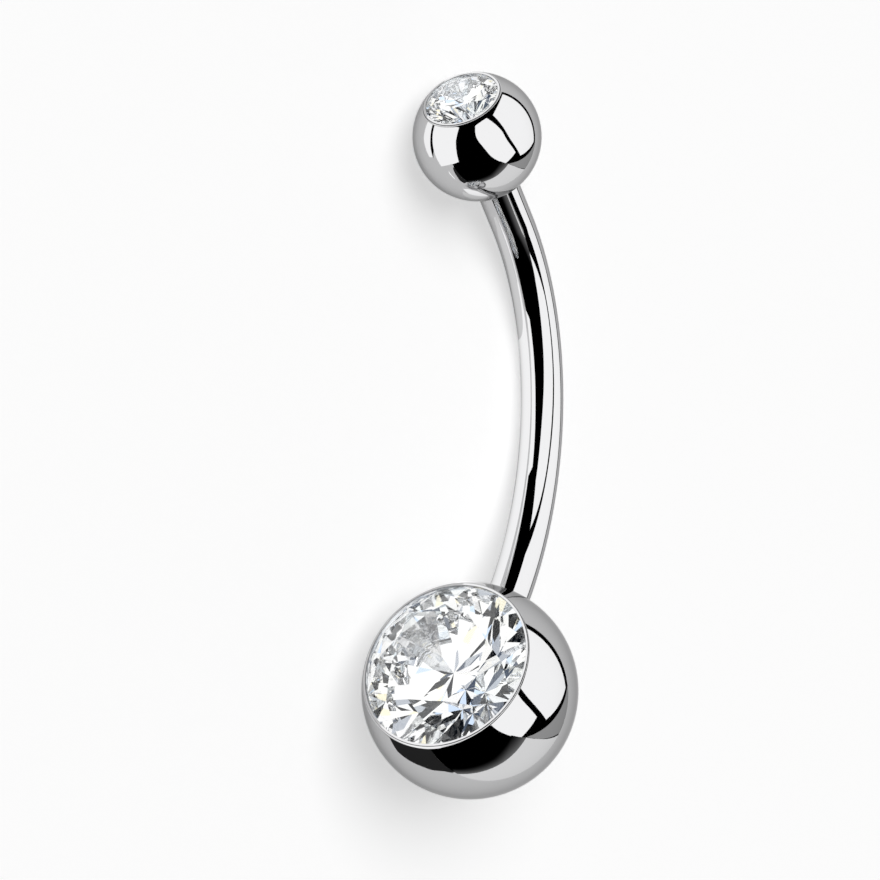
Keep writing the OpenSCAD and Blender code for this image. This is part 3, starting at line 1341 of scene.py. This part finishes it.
@dataclass(frozen=True)
class Card:
    """A bright card in the dark round the ring, with each corner's azimuth and elevation.

    The last corners, as many as faded says, are dark. A corner that turns by less than blunt
    degrees is cut off, and this is done as often as cuts says.
    """

    name: str
    brightness: float
    corners: tuple[tuple[float, float], ...]
    faded: int = 0
    cuts: int = 0
    cut_share: float = 0.25
    blunt: float = 50.0
    distance: float = 0.4

    @staticmethod
    def towards(azimuth: float, elevation: float) -> Vector:
        """A direction from the ring. Azimuth 0 is to the front and 90 to the right."""
        az, el = math.radians(azimuth), math.radians(elevation)
        return Vector((math.sin(az) * math.cos(el), -math.cos(az) * math.cos(el), math.sin(el)))

    def eased(self, ways: list[Vector]) -> list[Vector]:
        """Cuts the blunt corners again and again, so that they become curves.

        Args:
            ways: The direction of each corner.

        Returns:
            The directions of the new corners. The sharp corners stay.
        """
        for _ in range(self.cuts):
            corners = zip(ways[-1:] + ways[:-1], ways, ways[1:] + ways[:1])
            ways = [way for corner in corners for way in self._cut(*corner)]
        return ways

    def _cut(self, before: Vector, corner: Vector, after: Vector) -> list[Vector]:
        """Cuts one corner if it is blunt.

        Args:
            before: The corner before it.
            corner: The corner.
            after: The corner after it.

        Returns:
            The sharp corner as it is, or the two that take a blunt one's place.
        """
        if (corner - before).angle(after - corner) >= math.radians(self.blunt):
            return [corner]
        return [corner.lerp(before, self.cut_share), corner.lerp(after, self.cut_share)]

    def build(self, centre: Vector) -> bpy.types.Object:
        """Hangs the card so that it faces the ring.

        Args:
            centre: Where the ring is.

        Returns:
            The card.
        """
        ways = self.eased([self.towards(*corner) for corner in self.corners])
        middle = sum(ways, Vector()).normalized()
        glows = [math.sqrt(self.brightness)] * len(ways)
        glows[len(ways) - self.faded:] = [0.0] * self.faded
        return hang_card(self.name, [centre + way * (self.distance / way.dot(middle))
                                     for way in ways], glows)


@dataclass(frozen=True)
class Sheet:
    """A sheet of card on the floor, with its corners in millimetres."""

    name: str
    brightness: float
    corners: tuple[tuple[float, float], ...]
    height: float = 0.02

    def build(self) -> bpy.types.Object:
        """Lays the sheet.

        Returns:
            The sheet.
        """
        return hang_card(self.name, [Vector((x, y, self.height)) * MM for x, y in self.corners],
                         [math.sqrt(self.brightness)] * len(self.corners))


@dataclass(frozen=True)
class Lamp:
    """A far, soft lamp that lights the floor and isn't mirrored in the ring."""

    name: str
    azimuth: float
    elevation: float
    width: float
    strength: float

    def build(self) -> bpy.types.Object:
        """Hangs the lamp.

        Returns:
            The lamp.
        """
        data = bpy.data.lights.new(self.name, "SUN")
        data.energy = self.strength
        data.angle = math.radians(self.width)
        lamp = put(self.name, data)
        way = -Card.towards(self.azimuth, self.elevation)
        lamp.rotation_euler = way.to_track_quat("-Z", "Y").to_euler()
        lamp.visible_glossy = lamp.visible_transmission = lamp.visible_camera = False
        return lamp


@dataclass(frozen=True)
class Viewpoint:
    """The camera, set against the upright ring, in millimetres and degrees."""

    azimuth: float = 28.967
    elevation: float = 4.836
    roll: float = 1.152
    aim: tuple[float, float, float] = (1.866, -3.342, -1.136)
    distance: float = 151.0
    lens: float = 163.64
    sensor: float = 36.0
    nearest: float = 5.0
    farthest: float = 10000.0

    def build(self, layout: Layout) -> bpy.types.Object:
        """Sets the camera where the picture was taken from.

        Args:
            layout: Where the ring lies.

        Returns:
            The camera.
        """
        azimuth, elevation, roll = map(math.radians, (self.azimuth, self.elevation, self.roll))
        back = Vector((math.cos(elevation) * math.cos(azimuth),
                       math.cos(elevation) * math.sin(azimuth), math.sin(elevation)))
        level = Vector((-math.sin(azimuth), math.cos(azimuth), 0))
        upright = back.cross(level)
        right = math.cos(roll) * level + math.sin(roll) * upright
        up = math.cos(roll) * upright - math.sin(roll) * level
        turn = Matrix((right, up, back)).transposed().to_4x4()
        at = Matrix.Translation(Vector(self.aim) + back * self.distance)
        placed = layout.matrix @ at @ turn
        data = bpy.data.cameras.new("camera")
        data.sensor_width, data.lens = self.sensor, self.lens
        data.clip_start, data.clip_end = self.nearest * MM, self.farthest * MM
        camera = put("camera", data)
        camera.matrix_world = Matrix.LocRotScale(
            placed.to_translation(), placed.to_3x3().normalized().to_quaternion(), None)
        bpy.context.scene.camera = camera
        return camera


@dataclass(frozen=True)
class Studio:
    """The plain pale floor, the soft light round the ring and how far light is followed.

    What shines through the stones comes from a room of plain panes in the colours of stone_room,
    shifted towards the pale ones within pale_angle of pale_way.
    """

    floor_r: float = 1.2
    floor_sides: int = 96
    floor_drop: float = 0.01
    floor_tone: float = 0.8
    floor_glow: float = 0.45
    sky: float = 0.965
    room_light: float = 0.25
    stone_light: float = 1.2
    stone_gaps: float = 3.4
    bounces: int = 40
    stone_bounces: int = 32
    ring_at: tuple[float, float, float] = (0.0, 0.0, 4.0)
    pale_way: tuple[float, float] = (-32.0, 24.0)
    pale_angle: float = 34.0
    pale_lift: float = 0.8
    stone_room: tuple[tuple[float, tuple[float, float, float, float]], ...] = (
        (0.0, (0.002, 0.003, 0.005, 1)), (0.36, (0.06, 0.08, 0.12, 1)),
        (0.44, (0.42, 0.45, 0.5, 1)), (0.55, (0.9, 0.9, 0.9, 1)),
        (0.84, (0.9, 0.85, 0.66, 1)), (0.87, (0.6, 0.72, 0.9, 1)),
        (0.91, (0.9, 0.9, 0.9, 1)))
    cards: tuple[Card, ...] = (
        Card("window_back", WHITE, ((-87, 46), (-125, 66), (-170, 66), (166, 51), (157, 33),
                                   (177, 5), (-120, 5)), cuts=3),
        Card("window_above", WHITE, ((-69, 47), (-35, 43), (-8, 50), (40, 65), (80, 61),
                                    (124, 46), (156, 47), (-178, 72), (-115, 70)), cuts=3),
        Card("pale_wall", 1.26, ((131, 42), (108, 25), (84, -0.5), (153, -0.5), (141, 28))),
        Card("grey_card", 0.52, ((132, 42), (154, -0.5), (177, -0.5))),
        Card("dim_card", 0.26, ((131, 42), (108, 25), (84, -0.5), (76, 2), (95, 30), (84, 43),
                                (112, 54)), faded=4),
        Card("front_card", WHITE, ((-20, 18), (5, 16), (41, 13), (43, -0.5), (-20, -0.5))),
    )
    sheets: tuple[Sheet, ...] = (
        Sheet("front_sheet", WHITE, ((-13.4, -7.6), (-4.8, -7.6), (8, -21), (45, -60),
                                     (360, -395), (-145, -395), (-15, -16))),
        Sheet("rim_sheet", WHITE, ((0, -8.6), (3, -6.8), (4, -8), (1, -10.5))),
        Sheet("dark_strip", 0.0, ((-13, -7.6), (-8.6, -7.6), (-7.8, -6.2), (-10.5, -6.7),
                                  (-13, -6.7)), height=0.03),
        Sheet("dark_sheet", 0.03, ((12, -8), (16, -6.5), (18.5, -6.8), (24, -7.8), (30, -8.5),
                                   (60, -14), (160, -25), (1150, -180), (900, -780), (48, -52),
                                   (24, -26), (16, -13))),
        Sheet("near_sheet", WHITE, ((-13, -6.7), (-10.5, -6.7), (-8, -6.2), (-8.6, -5.2),
                                    (-10.5, -4.8), (-13, -5.2))),
        Sheet("side_sheet", WHITE, ((-15, 1), (-20.5, 0), (-20.5, -6), (-15, -6.5))),
        Sheet("bar_sheet", WHITE, ((-2.5, 0), (0, -2), (4, -1), (6.3, 1.5), (5, 2.6), (0, 3.5),
                                   (-3, 3.2))),
        Sheet("end_sheet", 1.2, ((-3, 3.2), (-4.8, 2.2), (-6, 0.9), (-5, -0.4), (-2.6, -1.2),
                                 (-2.5, 0))),
    )
    lamps: tuple[Lamp, ...] = (
        Lamp("overhead", azimuth=-62, elevation=60, width=40, strength=1.45),
    )

    def floor(self) -> bpy.types.Object:
        """Lays the floor.

        Returns:
            A round, pale, matt floor that glows a little, as paper lit from behind.
        """
        count, reach = self.floor_sides, self.floor_r
        angles = [k * math.tau / count for k in range(count)]
        mesh = bpy.data.meshes.new("floor")
        mesh.from_pydata([(reach * math.cos(angle), reach * math.sin(angle),
                           -self.floor_drop * MM) for angle in angles],
                         [], [list(range(count))])
        material, graph = start_material("pale_floor")
        surface = graph.node("ShaderNodeBsdfPrincipled", {}, {
            "Base Color": (*[self.floor_tone] * 3, 1), "Roughness": 1.0,
            "Specular IOR Level": 0.0, "Emission Color": (1, 1, 1, 1),
            "Emission Strength": self.floor_glow})["BSDF"]
        graph.node("ShaderNodeOutputMaterial", {}, {"Surface": surface})
        mesh.materials.append(material)
        floor = put("floor", mesh)
        return floor

    def light(self) -> None:
        """Lights the floor from all round and from above, and hangs the cards."""
        world = bpy.data.worlds.new("studio")
        bpy.context.scene.world = world
        world.use_nodes = True
        graph = Graph(world.node_tree)
        path = graph.node("ShaderNodeLightPath")
        seen = self.room_light + path["Is Camera Ray"] * (self.sky - self.room_light)
        plain = graph.node("ShaderNodeBackground", {}, {
            "Color": (1, 1, 1, 1), "Strength": seen})["Background"]
        through = graph.node("ShaderNodeBackground", {}, {
            "Color": self._panes(graph), "Strength": self.stone_light})["Background"]
        surface = graph.node("ShaderNodeMixShader", {}, {
            "Fac": path["Is Transmission Ray"], 1: plain, 2: through})["Shader"]
        graph.node("ShaderNodeOutputWorld", {}, {"Surface": surface})
        world.cycles_visibility.glossy = False
        for card in self.cards:
            card.build(Vector(self.ring_at) * MM)
        for sheet in self.sheets:
            sheet.build()
        for lamp in self.lamps:
            lamp.build()

    def _panes(self, graph: Graph) -> Wire:
        """The room that is seen through the stones.

        Args:
            graph: The world's tree.

        Returns:
            The colour in each direction.
        """
        way = graph.node("ShaderNodeTexCoord")["Generated"]
        panes = graph.node("ShaderNodeTexVoronoi", {}, {
            "Vector": way, "Scale": self.stone_gaps})["Color"]
        pane = graph.node("ShaderNodeSeparateColor", {}, {"Color": panes})["Red"]
        ahead = graph.node("ShaderNodeVectorMath", {"operation": "DOT_PRODUCT"}, {
            0: way, 1: Card.towards(*self.pale_way)})["Value"]
        pale = graph.node("ShaderNodeMapRange", {"interpolation_type": "SMOOTHSTEP"}, {
            "Value": ahead, "From Min": math.cos(math.radians(self.pale_angle)),
            "From Max": 1.0, "To Max": self.pale_lift})["Result"]
        return graph.node("ShaderNodeValToRGB", {"stops": self.stone_room, "ramp": "CONSTANT"},
                          {"Fac": pane + pale})["Color"]

    def light_paths(self) -> None:
        """Lets light pass through the stones often enough, and shows it without a curve."""
        bpy.context.scene.view_settings.view_transform = "Standard"
        cycles = bpy.context.scene.cycles
        cycles.max_bounces = self.bounces
        cycles.glossy_bounces = cycles.transmission_bounces = self.stone_bounces


METALS = {
    Finish.POLISHED: Metal(
        "polished_titanium", (0.5, 0.5, 0.505), roughness=0.02, haze=0.05, haze_size=1.4,
        mark_size=0.06, mark_depth=0.0001),
    Finish.CUT: Metal(
        "cut_titanium", (0.5, 0.5, 0.505), roughness=0.14, haze=0.12, haze_size=0.6,
        mark_size=0.03, mark_depth=0.0015),
    # The seat is bright as a foil back, and its glow is painted light that brightens the stones.
    Finish.SEAT: Metal(
        "bright_seat", (0.93, 0.935, 0.95), roughness=0.03, haze=0.05, haze_size=0.8,
        mark_size=0.1, mark_depth=0.0003, glow=0.05),
    # Near-black in the groove round the rim: painted shade, partly the polishing compound such a
    # groove holds.
    Finish.GROOVE: Metal(
        "dark_groove", (0.06, 0.06, 0.065), roughness=0.3, haze=0.1, haze_size=0.6,
        mark_size=0.05, mark_depth=0.0003),
}
ZIRCONIA = Zirconia("clear_zirconia", refraction=2.16, painted_fire=0.05, gleam=0.4)


def main() -> None:
    """Builds the ring, then the studio round it."""
    logging.basicConfig(level=logging.INFO, format="%(name)s %(message)s")
    bar = BarSizes()
    top = BallSizes(4.7, StoneCut(2.75, turn=10), stone_sink=0.12)
    bottom = BallSizes(8.0, StoneCut(6.4, turn=25), stone_sink=0.22)
    layout = Layout(bar, top, bottom, bottom_tip=32)
    metals = {finish: metal.material() for finish, metal in METALS.items()}
    stone = ZIRCONIA.material()
    tree = SweepTree()
    Bar(bar, top.ball_r).build(layout, tree, metals)
    TopBall(bar, top).build(layout, tree, metals)
    BottomBall(bar, bottom).build(layout, metals)
    Brilliant("small_stone", top).build(
        layout.facing(layout.top_centre, layout.top_dir), "top_ball", "top_stone", stone)
    Brilliant("large_stone", bottom).build(
        layout.facing(layout.bottom_centre, layout.bottom_stone_dir), "bar", "bottom_stone",
        stone)
    studio = Studio()
    studio.floor()
    studio.light()
    studio.light_paths()
    Viewpoint().build(layout)


if __name__ == "__main__":
    main()
